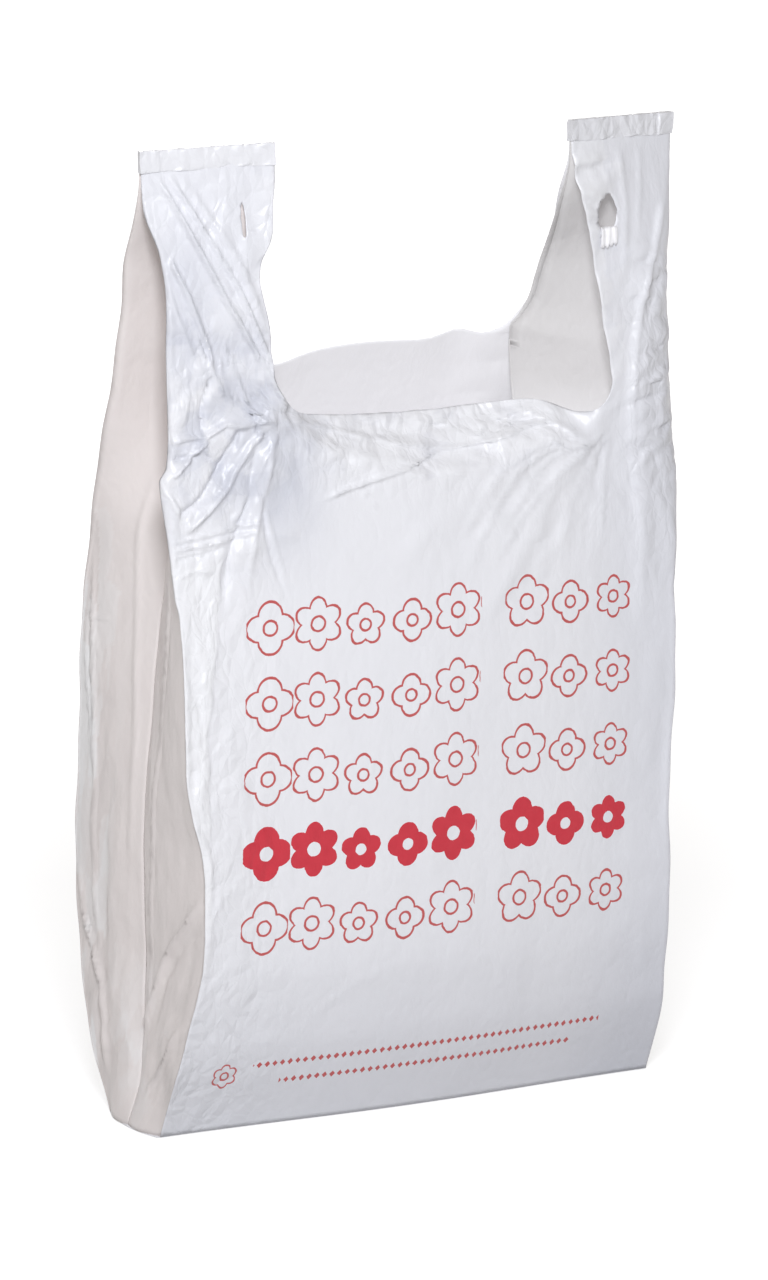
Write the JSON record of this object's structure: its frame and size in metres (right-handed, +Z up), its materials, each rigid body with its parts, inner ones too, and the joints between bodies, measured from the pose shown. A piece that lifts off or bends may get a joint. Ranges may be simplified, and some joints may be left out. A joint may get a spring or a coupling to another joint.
{
  "type": "vest carrier bag",
  "caption": "Thin-film carrier bag with gusseted sides and two welded loop handles, standing open on its folded base.",
  "frame": {"origin": "on the underside of the folded base, near its middle", "axes": "+Z up towards the handles, -Y towards the printed front panel, +X to the right handle seen from the front"},
  "size_m": [0.3153, 0.1444, 0.519],
  "materials": {
    "film": "milky white thin film, satin"
  },
  "bodies": {
    "root": {"film_bag": "film"}
  },
  "joints": []
}
